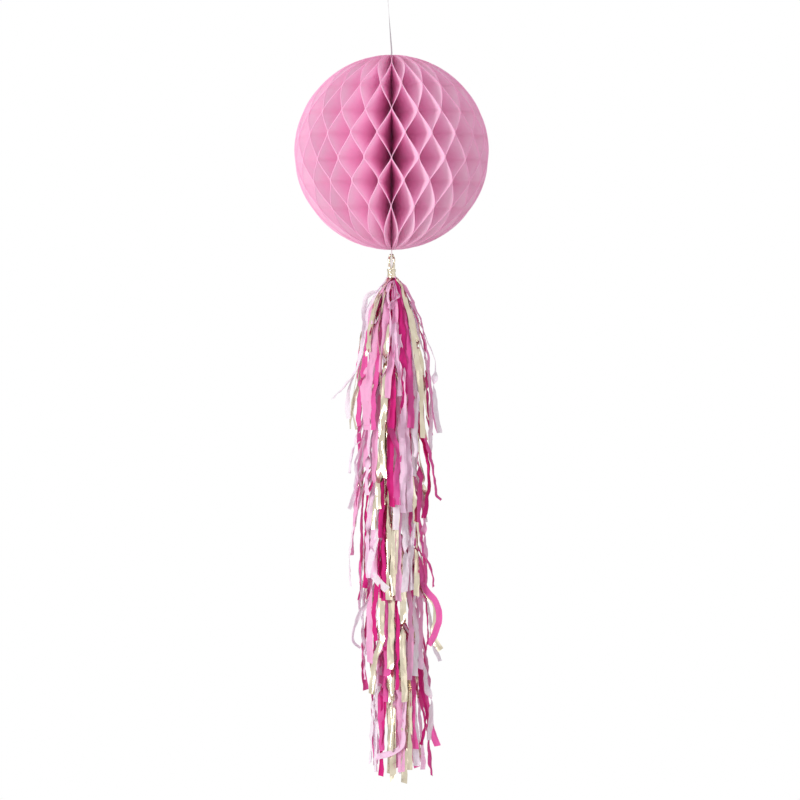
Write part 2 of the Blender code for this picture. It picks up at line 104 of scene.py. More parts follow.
def stage_camera():
    data = bpy.data.cameras.new("camera")
    data.sensor_width = SENSOR
    data.lens = SENSOR * VIEW_DISTANCE / (FRAME_PIXELS * PIXEL)
    camera = bpy.data.objects.new("camera", data)
    camera.location = VIEW_CENTRE - Vector((0, VIEW_DISTANCE, 0))
    camera.rotation_euler = (math.radians(90), 0, 0)
    bpy.context.collection.objects.link(camera)
    bpy.context.scene.camera = camera
    scene = bpy.context.scene
    scene.view_settings.view_transform = "Standard"
    # Tissue hands light on from leaf to leaf many times over
    scene.cycles.max_bounces = 32
    scene.cycles.diffuse_bounces = 16
    scene.cycles.transmission_bounces = 24


def lamp(name, place, aim, size, power):
    data = bpy.data.lights.new(name, "AREA")
    data.shape = "RECTANGLE"
    data.size, data.size_y = size
    data.energy = power
    made = bpy.data.objects.new(name, data)
    made.location = place
    made.rotation_euler = (Vector(aim) - Vector(place)).to_track_quat("-Z", "Y").to_euler()
    bpy.context.collection.objects.link(made)


def add(tree, kind, inputs=None, **settings):
    """Adds a node with its settings, and its inputs' values or links."""
    made = tree.nodes.new(kind)
    for name, value in settings.items():
        setattr(made, name, value)
    for name, value in (inputs or {}).items():
        socket = made.inputs[name]
        if isinstance(value, bpy.types.NodeSocket):
            tree.links.new(value, socket)
        else:
            socket.default_value = value
    return made


def tone(hex_colour):
    """An sRGB hex colour as linear red, green, blue and alpha."""
    parts = [int(hex_colour[i : i + 2], 16) / 255 for i in (1, 3, 5)]
    return (*((c / 12.92 if c <= 0.04045 else ((c + 0.055) / 1.055) ** 2.4) for c in parts), 1.0)


def light_room():
    world = bpy.data.worlds.new("pale room")
    bpy.context.scene.world = world
    world.use_nodes = True
    tree = world.node_tree
    tree.nodes.clear()
    path = add(tree, "ShaderNodeLightPath")
    seen = add(tree, "ShaderNodeMath", {0: path.outputs["Is Camera Ray"], 1: path.outputs["Is Glossy Ray"]}, operation="MAXIMUM")
    seen = add(tree, "ShaderNodeMath", {0: seen.outputs[0], 1: path.outputs["Is Transmission Ray"]}, operation="MAXIMUM")
    fill = add(tree, "ShaderNodeBackground", {"Color": (1, 1, 1, 1), "Strength": 0.58})
    white = add(tree, "ShaderNodeBackground", {"Color": (1, 1, 1, 1), "Strength": 1.0})
    both = add(tree, "ShaderNodeMixShader", {0: seen.outputs[0], 1: fill.outputs[0], 2: white.outputs[0]})
    add(tree, "ShaderNodeOutputWorld", {"Surface": both.outputs[0]})
    lamp("key_softbox", (-2.37, -2.37, -0.40), (AXIS, 0, -0.55), (0.7, 1.8), 66)
    lamp("fill_softbox", (1.8, -2.6, -0.2), (AXIS, 0, -0.6), (1.4, 1.8), 4)


def lay_floor():
    deselect()
    bpy.ops.mesh.primitive_circle_add(vertices=96, radius=2.1, fill_type="NGON", location=(AXIS, 0, -1.5))
    floor = bpy.context.object
    floor.name = "floor"
    made = bpy.data.materials.new("painted floor")
    made.use_nodes = True
    shader = made.node_tree.nodes["Principled BSDF"]
    shader.inputs["Base Color"].default_value = tone("#E9E8E7")
    shader.inputs["Roughness"].default_value = 0.8
    floor.data.materials.append(made)


# Materials


def start_material(name):
    made = bpy.data.materials.new(name)
    made.use_nodes = True
    made.node_tree.nodes.clear()
    return made, made.node_tree


def tissue(name, base, deep, pale, see_through, clear=0.0):
    """Dyed tissue paper, calendered thin: mottled where its fibres clump, plainer in
    places about 14 mm across, and lit through from behind. Its edge attribute
    tints it towards a third colour: painted rim light on the ball's leaf edges,
    each strip's own dye on the tassels."""
    made, tree = start_material(name)
    lay = add(tree, "ShaderNodeAttribute", attribute_name="lay")
    edge = add(tree, "ShaderNodeAttribute", attribute_name="edge")
    # Clumped fibres, 3 mm across
    clumps = add(tree, "ShaderNodeTexNoise", {"Vector": lay.outputs["Vector"], "Scale": 320.0, "Detail": 4.0, "Roughness": 0.65})
    # Plainer in places, 14 mm apart
    tone_patches = add(tree, "ShaderNodeTexNoise", {"Vector": lay.outputs["Vector"], "Scale": 70.0, "Detail": 2.0})
    shade = add(tree, "ShaderNodeMixRGB", {0: clumps.outputs["Fac"], 1: tone(deep), 2: tone(base)})
    spread = add(tree, "ShaderNodeMapRange", {"Value": tone_patches.outputs["Fac"], "From Min": 0.35, "From Max": 0.75})
    lighter = add(tree, "ShaderNodeMixRGB", {0: spread.outputs[0], 1: shade.outputs[0], 2: tone(base)})
    # Painted rim light on the ball's leaf edges; on the strips, their own dye
    rim = add(tree, "ShaderNodeMixRGB", {0: edge.outputs["Fac"], 1: lighter.outputs[0], 2: tone(pale)})
    # Crumples, 5 mm apart, that leave fine ridges
    crumples = add(tree, "ShaderNodeTexVoronoi", {"Vector": lay.outputs["Vector"], "Scale": 190.0}, feature="DISTANCE_TO_EDGE")
    relief = add(tree, "ShaderNodeMath", {0: crumples.outputs["Distance"], 1: clumps.outputs["Fac"]}, operation="ADD")
    bump = add(tree, "ShaderNodeBump", {"Height": relief.outputs[0], "Strength": 0.22, "Distance": 0.0005})
    front = add(tree, "ShaderNodeBsdfPrincipled", {"Base Color": rim.outputs[0], "Roughness": 0.78, "Specular IOR Level": 0.25, "Normal": bump.outputs[0]})
    through = add(tree, "ShaderNodeBsdfTranslucent", {"Color": rim.outputs[0], "Normal": bump.outputs[0]})
    sheet = add(tree, "ShaderNodeMixShader", {0: see_through, 1: front.outputs[0], 2: through.outputs[0]})
    if clear:
        gap = add(tree, "ShaderNodeBsdfTransparent")
        sheet = add(tree, "ShaderNodeMixShader", {0: clear, 1: sheet.outputs[0], 2: gap.outputs[0]})
    add(tree, "ShaderNodeOutputMaterial", {"Surface": sheet.outputs[0]})
    return made


def foil_material():
    """Polyester film metallised in champagne, crumpled by the twisting: mirror
    bright between sharp fine creases."""
    made, tree = start_material("metallised polyester film")
    lay = add(tree, "ShaderNodeAttribute", attribute_name="lay")
    creases = add(tree, "ShaderNodeTexVoronoi", {"Vector": lay.outputs["Vector"], "Scale": 130.0}, feature="DISTANCE_TO_EDGE")
    # Painted reflections: darker blotches stand for the dark room that crumpled foil mirrors
    painted_reflections = add(tree, "ShaderNodeTexNoise", {"Vector": lay.outputs["Vector"], "Scale": 45.0, "Detail": 2.0})
    shade = add(tree, "ShaderNodeMixRGB", {0: painted_reflections.outputs["Fac"], 1: tone("#B7A88C"), 2: tone("#EFE6D3")})
    bump = add(tree, "ShaderNodeBump", {"Height": creases.outputs["Distance"], "Strength": 0.35, "Distance": 0.0006})
    shader = add(tree, "ShaderNodeBsdfPrincipled", {"Base Color": shade.outputs[0], "Metallic": 1.0, "Roughness": 0.2, "Normal": bump.outputs[0]})
    add(tree, "ShaderNodeOutputMaterial", {"Surface": shader.outputs[0]})
    return made


def ribbon_material():
    """Polyester satin ribbon: fine warp lines along it and a soft sheen."""
    made, tree = start_material("polyester satin ribbon")
    lay = add(tree, "ShaderNodeAttribute", attribute_name="lay")
    warp = add(tree, "ShaderNodeTexWave", {"Vector": lay.outputs["Vector"], "Scale": 500.0, "Distortion": 0.4}, bands_direction="X")
    shade = add(tree, "ShaderNodeMixRGB", {0: warp.outputs["Fac"], 1: tone("#BDB4BB"), 2: tone("#E6DEE4")})
    bump = add(tree, "ShaderNodeBump", {"Height": warp.outputs["Fac"], "Strength": 0.2, "Distance": 0.0001})
    shader = add(
        tree,
        "ShaderNodeBsdfPrincipled",
        {"Base Color": shade.outputs[0], "Roughness": 0.42, "Sheen Weight": 0.3, "Normal": bump.outputs[0]},
    )
    add(tree, "ShaderNodeOutputMaterial", {"Surface": shader.outputs[0]})
    return made


def cord_material():
    """Cotton cord, three strands laid up: soft fibres that scatter light."""
    made, tree = start_material("laid cotton cord")
    lay = add(tree, "ShaderNodeAttribute", attribute_name="lay")
    fibres = add(tree, "ShaderNodeTexNoise", {"Vector": lay.outputs["Vector"], "Scale": 900.0, "Detail": 3.0})
    shade = add(tree, "ShaderNodeMixRGB", {0: fibres.outputs["Fac"], 1: tone("#D9CFCF"), 2: tone("#F6F0EF")})
    bump = add(tree, "ShaderNodeBump", {"Height": fibres.outputs["Fac"], "Strength": 0.3, "Distance": 0.0002})
    shader = add(tree, "ShaderNodeBsdfPrincipled", {"Base Color": shade.outputs[0], "Roughness": 0.85, "Sheen Weight": 0.2, "Normal": bump.outputs[0]})
    add(tree, "ShaderNodeOutputMaterial", {"Surface": shader.outputs[0]})
    return made


# Meshes


class Sheets:
    """A piece put together from thin closed sheets and tubes."""

    def __init__(self, name):
        self.name = name
        self.verts, self.faces, self.lay, self.edge = [], [], [], []
        self.count = 0

    def add(self, verts, faces, lay, edge):
        self.verts.append(verts.reshape(-1, 3))
        self.lay.append(lay.reshape(-1, 3))
        self.edge.append(edge.reshape(-1))
        self.faces.append(faces + self.count)
        self.count += len(self.verts[-1])

    def add_sheet(self, middle, thickness, lay, edge):
        """A sheet of this thickness round a grid of points of its middle."""
        down = np.gradient(middle, axis=0)
        across = np.gradient(middle, axis=1)
        square = np.cross(down, across)
        square /= np.maximum(np.linalg.norm(square, axis=2, keepdims=True), 1e-12)
        half = (np.broadcast_to(thickness, middle.shape[:2]) / 2)[..., None]
        rows, cols = middle.shape[:2]
        both = np.stack([middle + square * half, middle - square * half])
        n = np.arange(2 * rows * cols).reshape(2, rows, cols)
        faces = []
        for side, (a, b, c, d) in ((0, (0, 1, 2, 3)), (1, (3, 2, 1, 0))):
            grid = n[side]
            corners = (grid[:-1, :-1], grid[1:, :-1], grid[1:, 1:], grid[:-1, 1:])
            faces.append(np.stack([corners[i] for i in (a, b, c, d)], axis=2).reshape(-1, 4))
        loop = np.concatenate(
            [n[:, :, 0], n[:, -1, 1:], n[:, -2::-1, -1], n[:, 0, -2:0:-1]], axis=1
        )
        ahead = np.roll(loop, -1, axis=1)
        faces.append(np.stack([loop[0], loop[1], ahead[1], ahead[0]], axis=1))
        self.add(both, np.concatenate(faces), np.stack([lay, lay]), np.stack([edge, edge]))

    def add_tube(self, rings, lay, closed=False):
        """A tube through rings of corners, with its ends filled or joined."""
        rows, sides = rings.shape[:2]
        n = np.arange(rows * sides).reshape(rows, sides)
        if closed:
            n = np.concatenate([n, n[:1]])
        ahead = np.roll(n, -1, axis=1)
        faces = np.stack([n[:-1], ahead[:-1], ahead[1:], n[1:]], axis=2).reshape(-1, 4)
        verts, lay = rings.reshape(-1, 3), lay.reshape(-1, 3)
        if not closed:
            caps = []
            for row, flip in ((0, True), (rows - 1, False)):
                hub = len(verts)
                verts = np.vstack([verts, rings[row].mean(axis=0)])
                lay = np.vstack([lay, lay[row * sides]])
                a, b = n[row], np.roll(n[row], -1)
                if flip:
                    a, b = b, a
                # Two corners at a time, so that the cap is of quads
                caps.append(np.stack([np.full(sides // 2, hub), a[::2] if not flip else a[1::2], b[::2] if not flip else a[::2], b[1::2] if not flip else b[::2]], axis=1))
            faces = np.concatenate([faces, *caps])
        self.add(verts, faces, lay, np.zeros(len(verts)))

    def piece(self, finish, slot, *nodes, sharp=math.radians(50)):
        mesh = bpy.data.meshes.new(self.name)
        verts = np.concatenate(self.verts)
        faces = np.concatenate(self.faces)
        mesh.from_pydata(verts, [], faces)
        for name, kind, values in (
            ("lay", "FLOAT_VECTOR", np.concatenate(self.lay)),
            ("edge", "FLOAT", np.concatenate(self.edge)),
        ):
            stored = mesh.attributes.new(name, kind, "POINT")
            stored.data.foreach_set("vector" if kind == "FLOAT_VECTOR" else "value", values.ravel())
        mesh.materials.append(finish)
        made = bpy.data.objects.new(self.name, mesh)
        bpy.context.collection.objects.link(made)
        deselect()
        made.select_set(True)
        bpy.context.view_layer.objects.active = made
        bpy.ops.object.shade_smooth_by_angle(angle=sharp)
        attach(made, "root")
        if nodes:
            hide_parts(*nodes)
        return made


def carried_frames(points):
    """Directions along and across a line, turned as little as it allows."""
    along = np.gradient(points, axis=0)
    along /= np.linalg.norm(along, axis=1, keepdims=True)
    side = np.cross(along[0], (0.0, 1.0, 0.0))
    sides = []
    for a in along:
        side = side - a * np.dot(side, a)
        side /= np.linalg.norm(side)
        sides.append(side)
    return along, np.array(sides)


def through(points, spacing):
    """A smooth line through points, with corners this far apart."""
    points = np.array(points, float)
    padded = np.vstack([2 * points[0] - points[1], points, 2 * points[-1] - points[-2]])
    line = []
    for i in range(1, len(padded) - 2):
        a, b, c, d = padded[i - 1 : i + 3]
        for t in np.linspace(0, 1, 24, endpoint=False):
            line.append(
                0.5 * (2 * b + (c - a) * t + (2 * a - 5 * b + 4 * c - d) * t**2 + (3 * b - a - 3 * c + d) * t**3)
            )
    line.append(padded[-2])
    line = np.array(line)
    reach = np.concatenate([[0], np.cumsum(np.linalg.norm(np.diff(line, axis=0), axis=1))])
    count = max(3, round(reach[-1] / spacing))
    stops = np.linspace(0, reach[-1], count + 1)
    return np.stack([np.interp(stops, reach, line[:, i]) for i in range(3)], axis=1), stops


# Hanging ribbon


def ribbon_route():
    """The middle line of the ribbon, as in the part's source."""
    thick = RIBBON_WIDTH / 2
    crown = np.array([AXIS, 0, -RIBBON_DROP])
    up = np.array([0, 0, 1.0])
    tie = up * (thick - RIBBON_LOOP_HEIGHT)
    bend = crown + up * (thick + 2 * RIBBON_WIDTH)
    below = tie - up * (1.3 * RIBBON_KNOT_RADIUS + thick)
    points = [crown - up * RIBBON_SEAT, crown + up * thick, bend, (bend + below) / 2, below, tie]
    for turn in np.linspace(1.05, 5.36, 23):
        across = -RIBBON_LOOP_WIDTH / 2 * math.sin(turn) * math.sin(turn / 2) / 0.77
        rise = RIBBON_LOOP_HEIGHT * (1 - math.cos(turn)) / 2
        points.append(tie + np.array([across, 0, rise]))
    return points, tie


def add_ribbon(finish):
    points, tie = ribbon_route()
    line, stops = through(points, 0.0016)
    along, side = carried_frames(line)
    # The band turns a quarter round on its way up, as a hanging ribbon does
    turn = 0.5 + 1.3 * smooth(stops / 0.11)
    turn = turn[:, None]
    lift = np.cross(along, side)
    wide = side * np.cos(turn) + lift * np.sin(turn)
    flat = np.cross(along, wide)
    corners = []
    for a, b in ((-1, 0), (-0.9, -1), (0, -1), (0.9, -1), (1, 0), (0.9, 1), (0, 1), (-0.9, 1)):
        corners.append(line + wide * a * RIBBON_WIDTH / 2 + flat * b * 0.00016)
    rings = np.stack(corners, axis=1)
    lay = np.zeros(rings.shape)
    lay[..., 0] = np.array([-1, -0.9, 0, 0.9, 1, 0.9, 0, -0.9]) * RIBBON_WIDTH / 2
    lay[..., 1] = stops[:, None]
    band = Sheets("satin_ribbon")
    band.add_tube(rings, lay)
    ribbon = band.piece(finish, "satin_ribbon", "hanging_ribbon")
    knot = Sheets("ribbon_knot")
    turns = np.linspace(0, 2 * math.pi, 72, endpoint=False)
    line = np.stack(
        [np.sin(turns) + 2 * np.sin(2 * turns), -np.sin(3 * turns), np.cos(turns) - 2 * np.cos(2 * turns)], axis=1
    )
    line = tie + line * 0.00068
    rings, lay = round_tube(np.vstack([line, line[:1]]), 0.00085, 8)
    knot.add_tube(rings[:-1], lay[:-1], closed=True)
    knot = knot.piece(finish, "satin_ribbon")
    route = [tuple(p) for p in through(points, 0.003)[0]]


def round_tube(line, radius, sides, lobes=0, pitch=1.0):
    """Rings of a round tube, with the lobes of twisted strands if it has any."""
    along, side = carried_frames(line)
    lift = np.cross(along, side)
    reach = np.concatenate([[0], np.cumsum(np.linalg.norm(np.diff(line, axis=0), axis=1))])
    turns = np.linspace(0, 2 * math.pi, sides, endpoint=False)
    size = np.broadcast_to(radius, (len(line),))[:, None] * np.ones((1, sides))
    if lobes:
        size = size * (0.84 + 0.16 * np.abs(np.cos((turns[None, :] * lobes + reach[:, None] / pitch * 2 * math.pi * lobes) / 2)))
    rings = line[:, None] + side[:, None] * (np.cos(turns)[None, :] * size)[..., None]
    rings = rings + lift[:, None] * (np.sin(turns)[None, :] * size)[..., None]
    lay = np.zeros(rings.shape)
    lay[..., 0] = turns[None, :] * np.mean(radius)
    lay[..., 1] = reach[:, None]
    return rings, lay


def add_core_cord(finish):
    top = -RIBBON_DROP - RIBBON_SEAT - 0.0003
    heights = np.arange(top, CORD_END_Z, -0.0011)
    line = np.stack([np.full(len(heights), AXIS), np.zeros(len(heights)), heights], axis=1)
    share = np.clip((heights - CORD_KNOT_Z) / (1.3 * CORD_KNOT_RADIUS), -1, 1)
    thick = CORD_DIAMETER / 2
    radius = thick + (CORD_KNOT_RADIUS - thick) * np.sqrt(1 - share**2)
    rings, lay = round_tube(line, radius, 12, lobes=3, pitch=0.0075)
    cord = Sheets("laid_cord")
    cord.add_tube(rings, lay)
    cord.piece(finish, "cotton_cord", "core_cord")


# Honeycomb ball

LEAF_STEP = 2 * math.pi / LEAVES
FIRST_TURN = -(math.pi + LEAF_STEP) / 2
GLUE_HEIGHTS = (0.136, 0.0978, 0.0577, 0.0223, -0.0158, -0.0505, -0.0893, -0.1312)
GLUE_PITCH = 0.0382
BALL_CORE = 0.0022
LEAF_DEPTHS = (0, 0.0007, 0.0018, 0.0040, 0.011, 0.028, 0.056, 0.094, BALL_RADIUS - BALL_CORE)
LEAF_WALLS = (0.0009, 0.0009, 0.0006, 0.00032, 0.00024, 0.0002, 0.00018, 0.00016, 0.00014)
CELL_SHARES = (0.0, 0.07, 0.16, 0.3, 0.45, 0.55, 0.7, 0.84, 0.93, 1.0)


def glue_spots():
    """How far each spot of glue strays: (turn, height, half its height)."""
    chance = random.Random(5)
    spots = {}
    for gap in range(LEAVES):
        for level in range(-1, len(GLUE_HEIGHTS) + 1):
            spots[gap, level] = (
                chance.uniform(-0.045, 0.045),
                chance.uniform(-0.0012, 0.0012),
                chance.uniform(0.0008, 0.0028),
            )
    return spots


def leaf_rows(leaf, spots):
    """(height, turn, side it is glued on, bulge) down one leaf."""
    chance = random.Random(100 + leaf)
    heights = (GLUE_HEIGHTS[0] + GLUE_PITCH, *GLUE_HEIGHTS, GLUE_HEIGHTS[-1] - GLUE_PITCH)
    stops = []
    for number, height in enumerate(heights):
        level = number - 1
        gap = leaf if (level + leaf) % 2 == 0 else leaf - 1
        turn, rise, half = spots[gap % LEAVES, level]
        stops.append((height + rise, gap + 0.5 + turn, half, -1 if gap == leaf else 1))
    end = math.sqrt(BALL_RADIUS**2 - BALL_CORE**2) - 1e-5
    rows = []
    for upper, lower in zip(stops, stops[1:]):
        top, bottom = upper[0] - upper[2], lower[0] + lower[2]
        bulge = chance.uniform(-0.05, 0.05)
        shares = list(CELL_SHARES)
        for limit in (end, -end):
            at = (top - limit) / (top - bottom)
            if 0 < at < 1:
                shares = sorted([*shares, at])
        for share in shares:
            height = top + (bottom - top) * share
            if abs(height) > end + 1e-6:
                continue
            mixed = 0.75 * share + 0.25 * float(smooth(share))
            rows.append(
                (
                    height,
                    upper[1] + (lower[1] - upper[1]) * mixed,
                    upper[3] + (lower[3] - upper[3]) * mixed,
                    bulge * math.sin(math.pi * share),
                )
            )
    return rows


def add_ball(finish):
    """44 half-disc leaves, glued in turn to the leaf on either side."""
    ball = Sheets("tissue_honeycomb")
    spots = glue_spots()
    depths = np.array(LEAF_DEPTHS) / LEAF_DEPTHS[-1]
    walls = np.array(LEAF_WALLS)
    for leaf in range(LEAVES):
        rows = np.array(leaf_rows(leaf, spots))
        height, turn, side, bulge = (rows[:, i, None] for i in range(4))
        rim = np.sqrt(np.maximum(BALL_RADIUS**2 - height**2, BALL_CORE**2))
        radius = rim - (rim - BALL_CORE) * depths[None, :]
        wall = np.minimum(walls[None, :], 0.8 * LEAF_STEP * radius)
        angle = FIRST_TURN + (turn + bulge * (radius / BALL_RADIUS) ** 2) * LEAF_STEP
        shift = side * wall / 2
        x = AXIS + radius * np.cos(angle) - shift * np.sin(angle)
        y = radius * np.sin(angle) + shift * np.cos(angle)
        middle = np.stack([x, y, BALL_Z + height + 0 * radius], axis=2)
        lay = np.stack([radius, height + 0 * radius, np.full(radius.shape, leaf * 0.37)], axis=2)
        # Painted rim light: the outer 3 mm of each leaf is tinted pinker, as its lit cut edge looks
        edge = 1 - smooth((rim - radius) / 0.0032)
        ball.add_sheet(middle, wall, lay, edge)
    # The leaves' folded edges, glued round the cord
    heights = np.linspace(1, -1, 40) * (BALL_RADIUS - 0.0006)
    line = np.stack([np.full(40, AXIS), np.zeros(40), BALL_Z + heights], axis=1)
    ball.add_tube(*round_tube(line, 0.0030, 16))
    ball.piece(finish, "ball_tissue", "honeycomb_ball", sharp=math.radians(60))


# Tassels

# Strips that the photograph shows, as the points of it that their middle lines
# go through. The letter is the sheet, a capital its brighter or deeper dye,
# the figure how far out the strip lies, and a star a strip that hangs edge on.
SEEN = (
    (
        "w4 386,281 372,300 366,320 363,345 356,371 345,385 332,399",
        "w3* 385,283 377,291 368,296 365.5,303 364.5,318 364,340 360,365",
        "P3 385,283 375,305 371.7,317 370.7,345 369.8,364 363,383 365,402 366.5,425",
        "p5 387,283 378,297 373.5,312 373.5,324",
        "f6 391,278 378.3,297.6 374,313 370,332 369,352",
        "f4* 389,280 383,300 379,330 379,345 381,360 380,375 380,395",
        "f3 391,285 386,330 386,370 384,405 381,441",
        "P5 390,280 384,291 386,313 384,335 382,352 379,372",
        "p8* 395,281 390,284 388,293 390,304 390,316 389.8,340 388.5,355 387,367 381,377",
        "p7 394,281 396,290 397,298 393,304 391,309",
        "P6 393,281 394.5,303 395,317 393,331 393.6,345 391.7,359.5 389,380 388,398",
        "H7 396,279 399,292 401,310 402,330 402,350 404,370 405,392 403,414",
        "h6 398,281 403,300 406,320 407,345 408,370 411,395 410,428",
        "H3 392,284 391,330 392,364 393,400 391,428",
        "h2 391,286 382,330 378,372 374,402 374,430",
        "p8 395,290 394,330 396,356 400,378 400,396",
        "p7 397,284 398,330 401,362 403,385 403,410 403,438",
        "F8 397,279 403,288 406,303 410.7,321 413.6,340 416.4,359.5 420,379 422,410 423,438",
        "P5 400,281 412,300 420,317 424,331 428,355 430,380 433,410 437,433",
        "w4 401,283 418,318 428.8,345 435,359.5 434.5,378.6 435,400 439,433",
        "f3 401,285 414,330 422,372 424,392 426,407 428,420",
        "w2 384,285 366,330 358,365 350,385 347,400 348,419",
        "f3 385,285 368,340 359,380 352,405 350,429",
        "h4 386,287 370,330 364,370 359,398 358,426",
        "h2 398,285 410,340 411,380 410,428",
        "w3 400,286 413,340 417,380 416,420 416,457",
        "w2 402,287 422,345 430,390 430,425 430,452",
        "P2 388,287 376,340 370,380 368,412 367,430",
    ),
    (
        "h4 362,402 360,426 360,453",
        "P4 367,412 367,440 366,467",
        "w5 366,430 359,452 356,462 357,474 361,486",
        "w3 361,430 352,452 349,473",
        "w2* 359,468 355,490 349,509",
        "P3 361,450 357,484 356,514",
        "p4 370,420 368,450 367,495",
        "P5 377,420 375,450 375,483",
        "f6 384,412 382,440 383,457 384,478",
        "H4 394,420 391,440 390,470 392,507",
        "h6 391,430 398,453 396,480 397,505",
        "F5 383,440 380,470 378,485 378,509",
        "f4* 386,455 385,479 385,506",
        "p6 402,440 403,465 403,483 403,513",
        "p5 407,445 410,483 410,512",
        "w7 412,420 413,440 413,476",
        "h5 415,430 419,460 420,490 418,522",
        "H4 420,430 427,460 428,490 424,518",
        "h6 423,430 430,455 435,478 436,494 441,500",
        "f3 410,470 414,500 415.5,523",
        "H3 383,470 381,509 380,538",
        "f3 380,480 375,507 374,529",
        "w2 395,460 396,500 396,530",
    ),
    (
        "P4 362,480 354,515 352,555",
        "w3 360,500 351,540 350,586",
        "h5 364,490 362,520 361,560 359,600",
        "H4 367,500 365,540 364,588",
        "p6 375,490 369,520 368,550 369,578",
        "p5 379,495 374,530 374,577",
        "w7 378,530 371,558 372,573 379,582 387,590",
        "H4 384,500 383,544 384,601",
        "H3* 380,510 379,550 380,598",
        "F6 397,480 396,520 394,560 392,596",
        "P5 399,500 398,547 399,601",
        "w6 404,480 405,520 405,592",
        "w5 412,500 411,540 412,590",
        "h7 410,490 411,530 419,550 429,565 434,587",
        "w7* 410,500 413,530 412,545",
        "h4 418,500 421,530 425,560 427,592",
        "P3 422,500 425,540 426,570 424,598",
        "f4 414,490 417,530 417,565 416,596",
        "f3 388,500 388,550 389,600",
    ),
    (
        "H3 384,575 384,606 386,650",
        "h7* 418,560 425,588 435,600 439,613 437,630 429,645",
        "h6 411,560 418,582 426,602 428,628 427,650",
        "f5* 419,575 424,592 435,604 436,620 433,636 441,650",
        "w3 427,600 431,625 433,643 440,661",
        "w5* 377,575 368,600 360,613 353,629 352.6,641 360,648.6",
        "P6 375,560 371,587 370,625 370,663",
        "H5 379,570 375,606 375,641",
        "f6 386,570 381,606 381,640 374,662 371,694",
        "f7 392,570 391,604 391,640 390,669",
        "H4* 397,580 397,625 397,690",
        "F8 401,560 403,591 403,650 405,702",
        "P5 408,560 410,592 411,640 410,680",
        "w4 413,570 414,600 416,640 415,676",
        "p5 414,560 419,587 421,630 420,669",
        "h3 390,580 388,620 387,676",
        "w4 364,590 363,620 366,655",
    ),
    (
        "P6 384,632 380,655 380,686",
        "h5 388,640 386,663 386,702",
        "h5 383,660 382,690 381,720 382,751",
        "f6* 399,640 399,665 400,690",
        "f7 413,650 416,680 418,698",
        "h6 412,660 413,695 412,725 416,749",
        "H5 416,655 422,690 427,712 421,745",
        "w6 419,650 426,680 431,703 430,740",
        "h3* 424,690 431,728 437,746",
        "w4 380,670 374,700 371,720 370,763",
        "F7 402,660 404,700 404,730",
        "P6 399,680 401,720 402,772",
        "p8 404,690 404,725 402,744 394,752 384,755 376,757",
        "F5 392,700 393,740 393,782",
        "f5 404,720 404,755 404,783",
        "f4 408,690 409,729 409,770",
        "w4 412,700 416,740 416,766",
        "w3 380,690 376,730 375,772",
        "H3 384,700 382,740 381,776",
        "f7 391,640 391,690 391,752",
        "P3 396,690 397,730 396,768",
    ),
)


def bell(tassel):
    """How far down and how far out a strip has got at each millimetre of it."""
    peak, reach, hang = SPREADS[tassel]
    share = np.arange(0.0005, 0.36, 0.001) / reach
    lean = peak * share * np.exp(1 - share) + hang * (1 - np.exp(-share))
    down = np.concatenate([[0], np.cumsum(np.cos(lean)) * 0.001])
    out = np.concatenate([[0], np.cumsum(np.sin(lean)) * 0.001])
    return down, out


def bell_radius(tassel, z):
    down, out = bell(tassel)
    return ROOT_RADIUS + np.interp(NECK_Z - tassel * TASSEL_PITCH - z, down, out)


def middle_x(z):
    """Where the middle of the tail hangs at a height."""
    return AXIS + DRIFT * np.maximum(0, CORD_END_Z - z)


def seen_route(tassel, layer, dots):
    """A strip's line from its neck through points of the photograph."""
    neck = NECK_Z - tassel * TASSEL_PITCH
    dots = [tuple(float(n) for n in dot.split(",")) for dot in dots]
    flat = [((u - FRAME_PIXELS / 2) * PIXEL, (FRAME_PIXELS / 2 - v) * PIXEL) for u, v in dots]
    route = []
    for x, z in flat:
        near = 0.0
        # The nearer to the camera, the smaller it is for the same picture
        for _ in range(3):
            scale = 1 + near / VIEW_DISTANCE
            px, pz = VIEW_CENTRE.x + x * scale, VIEW_CENTRE.z + z * scale
            off = px - middle_x(pz)
            radius = max(float(bell_radius(tassel, pz)), 1.04 * abs(off))
            near = -math.sqrt(radius**2 - off**2) - layer * LAYER_STEP
        route.append((px, near, pz))
    # Down to its first seen point, a strip spreads as the bell does
    x, y, z = route[0]
    way = math.atan2(y, x - middle_x(z))
    reach = math.hypot(x - middle_x(z), y) / float(bell_radius(tassel, z))
    above = []
    for drop in (0, 0.006, 0.016, 0.034, 0.07):
        at = neck - drop
        if at < z + 0.012:
            break
        mixed = 1 + (reach - 1) * drop / (neck - z)
        radius = float(bell_radius(tassel, at)) * mixed
        above.append((middle_x(at) + radius * math.cos(way), radius * math.sin(way), at))
    return above + route


def slot_route(tassel, slot, layer, length, chance):
    """A strip's line in its slot, going round from the left by the front."""
    neck = NECK_Z - tassel * TASSEL_PITCH
    angle = math.pi + 2 * math.pi * (slot + 0.5 + chance.uniform(-0.2, 0.2)) / 20
    down, out = bell(tassel)
    route = []
    for along in (0, 0.008, 0.018, 0.034, 0.06, 0.10, 0.15, 0.21, length):
        if along > length:
            break
        z = neck - float(down[min(len(down) - 1, round(along * 1000))])
        loose = along / STRIP_LENGTH
        turn = angle + chance.uniform(-0.16, 0.16) * loose
        radius = float(bell_radius(tassel, z)) * (1 + chance.uniform(-0.12, 0.10) * loose)
        radius += layer * 0.0006
        route.append((middle_x(z) + radius * math.cos(turn), radius * math.sin(turn), z))
    return route


def wander(stops, pitch, size, chance, start=0.0):
    """A line that changes its course at random every so often."""
    count = int(stops[-1] / pitch) + 3
    knots = [(i - 0.5 + chance.uniform(-0.3, 0.3)) * pitch for i in range(count)]
    values = [chance.uniform(-1, 1) * size for _ in knots]
    return np.interp(stops, knots, values) * smooth((stops - start) / 0.03 + 0.15)


